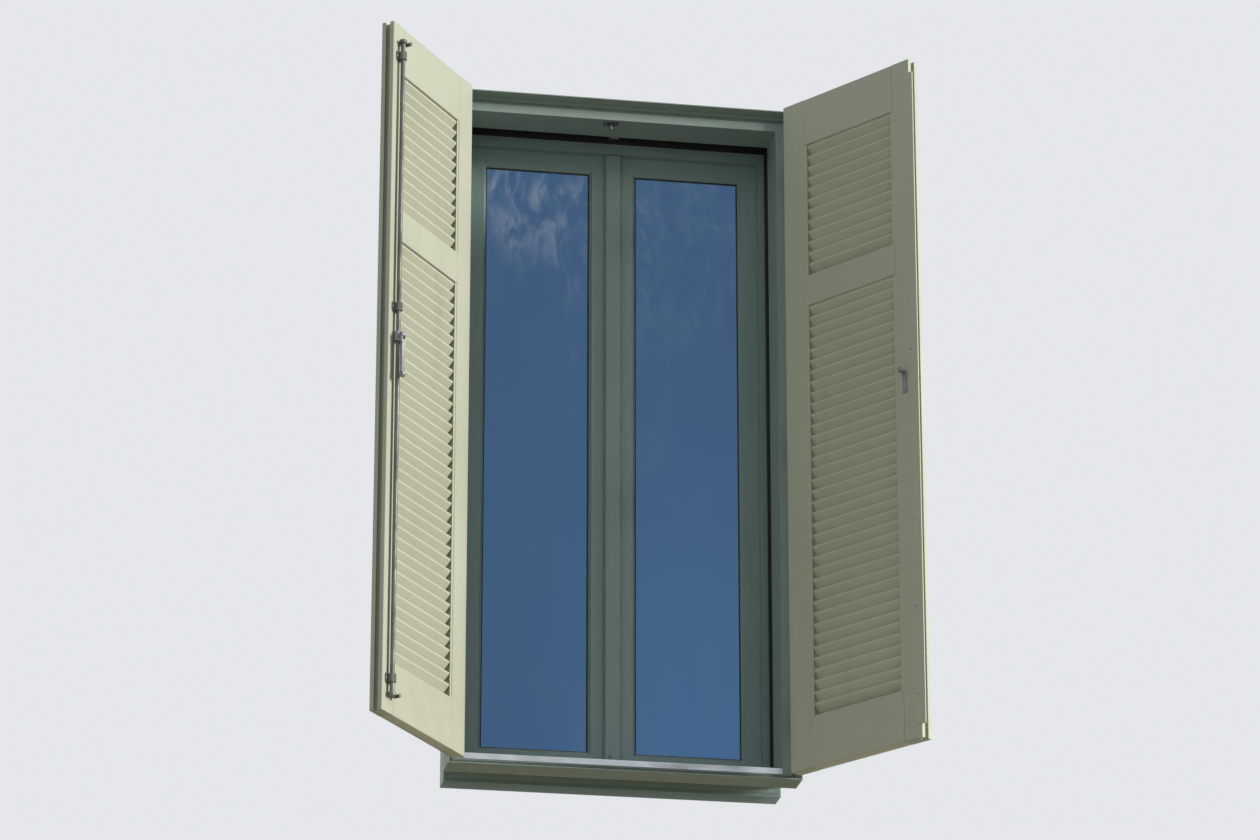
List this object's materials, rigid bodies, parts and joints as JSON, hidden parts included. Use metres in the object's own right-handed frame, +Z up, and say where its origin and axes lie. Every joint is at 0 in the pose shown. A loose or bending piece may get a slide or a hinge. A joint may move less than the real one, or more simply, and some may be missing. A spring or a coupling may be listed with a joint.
{
  "type": "shuttered window",
  "caption": "Louvred shutters with lapped meeting edges and a turning rod bolt, hinged in a deep frame that also carries inward-opening glazed casements.",
  "frame": {"origin": "on the seat under the sill, at mid width, in the plane of the face that the closed shutters stop against", "axes": "+X to the right as seen from outside, +Y into the room, +Z up"},
  "size_m": [1.4214, 0.7283, 1.878],
  "materials": {
    "painted_aluminium": "satin powder coat",
    "slat_paint": "satin powder coat",
    "cleat_aluminium": "cast, bare",
    "black_channel": "matt black powder coat",
    "bare_aluminium": "satin anodised",
    "seal_rubber": "matt",
    "cap_plastic": "matt",
    "hinge_steel": "stainless, satin",
    "bolt_metal": "satin",
    "painted_timber": "satin paint",
    "window_glass": "polished",
    "window_metal": "satin"
  },
  "bodies": {
    "frame": {"frame_jamb_left": "painted_aluminium", "frame_jamb_right": "painted_aluminium", "frame_head": "painted_aluminium", "frame_sill": "painted_aluminium", "frame_corner_cleats": "cleat_aluminium", "reveal_lining": "painted_aluminium", "screen_channels": "black_channel", "screen_catch": "bare_aluminium", "threshold_strip": "bare_aluminium", "frame_seals": "seal_rubber", "hinge_frame_wings": "hinge_steel", "hook_keepers": "bolt_metal", "window_frame": "painted_timber", "sash_hinge_feet": "window_metal"},
    "shutter_left": {"shutter_left_hinge_stile": "painted_aluminium", "shutter_left_free_stile": "painted_aluminium", "shutter_left_top_rail": "painted_aluminium", "shutter_left_mid_rail": "painted_aluminium", "shutter_left_bottom_rail": "painted_aluminium", "shutter_left_slats": "slat_paint", "shutter_left_slat_channels": "painted_aluminium", "shutter_left_end_caps": "cap_plastic", "shutter_left_rail_cleats": "cleat_aluminium", "shutter_left_hinge_wings": "hinge_steel", "rod_guides": "bolt_metal"},
    "shutter_right": {"shutter_right_hinge_stile": "painted_aluminium", "shutter_right_free_stile": "painted_aluminium", "shutter_right_top_rail": "painted_aluminium", "shutter_right_mid_rail": "painted_aluminium", "shutter_right_bottom_rail": "painted_aluminium", "shutter_right_slats": "slat_paint", "shutter_right_slat_channels": "painted_aluminium", "shutter_right_end_caps": "cap_plastic", "shutter_right_rail_cleats": "cleat_aluminium", "shutter_right_hinge_wings": "hinge_steel", "meeting_strip": "painted_aluminium", "handle_rest": "bolt_metal"},
    "bolt_rod": {"bolt_rod": "bolt_metal", "rod_hooks": "bolt_metal", "handle_lug": "bolt_metal", "handle_pin": "bolt_metal"},
    "drop_handle": {"drop_handle": "bolt_metal"},
    "sash_left": {"sash_left_frame": "painted_timber", "sash_left_panes": "window_glass", "sash_left_spacer": "bare_aluminium", "sash_left_bead": "painted_timber", "sash_left_hinges": "window_metal", "sash_left_cover": "painted_timber", "sash_left_rose": "window_metal"},
    "sash_lever": {"sash_left_lever": "window_metal"},
    "sash_right": {"sash_right_frame": "painted_timber", "sash_right_panes": "window_glass", "sash_right_spacer": "bare_aluminium", "sash_right_bead": "painted_timber", "sash_right_hinges": "window_metal", "sash_right_astragal": "painted_timber"}
  },
  "joints": [
    {"name": "shutter_left_swing", "type": "hinge", "parent": "frame", "child": "shutter_left", "pos_m": [-0.4565, -0.0456, 0.939], "axis": [0, 0, 1], "range_deg": [-50, 125]},
    {"name": "shutter_right_swing", "type": "hinge", "parent": "frame", "child": "shutter_right", "pos_m": [0.4565, -0.0456, 0.939], "axis": [0, 0, -1], "range_deg": [-50, 125]},
    {"name": "rod_turn", "type": "hinge", "parent": "shutter_left", "child": "bolt_rod", "pos_m": [-0.65567, -0.42436, 1], "axis": [0, 0, -1], "range_deg": [0, 70]},
    {"name": "handle_lift", "type": "hinge", "parent": "bolt_rod", "child": "drop_handle", "pos_m": [-0.64534, -0.43911, 1], "axis": [-0.8192, -0.5736, 0], "range_deg": [0, 90]},
    {"name": "sash_left_swing", "type": "hinge", "parent": "frame", "child": "sash_left", "pos_m": [-0.406, 0.245, 0.9325], "axis": [0, 0, 1], "range_deg": [0, 100]},
    {"name": "sash_right_swing", "type": "hinge", "parent": "frame", "child": "sash_right", "pos_m": [0.406, 0.245, 0.9325], "axis": [0, 0, -1], "range_deg": [0, 85]},
    {"name": "lever_turn", "type": "hinge", "parent": "sash_left", "child": "sash_lever", "pos_m": [-0.034, 0.2462, 1], "axis": [0, 1, 0], "range_deg": [0, 90]}
  ],
  "couplings": [
    {"joint": "sash_right_swing", "follows": "sash_left_swing", "ratio": 0.85}
  ]
}
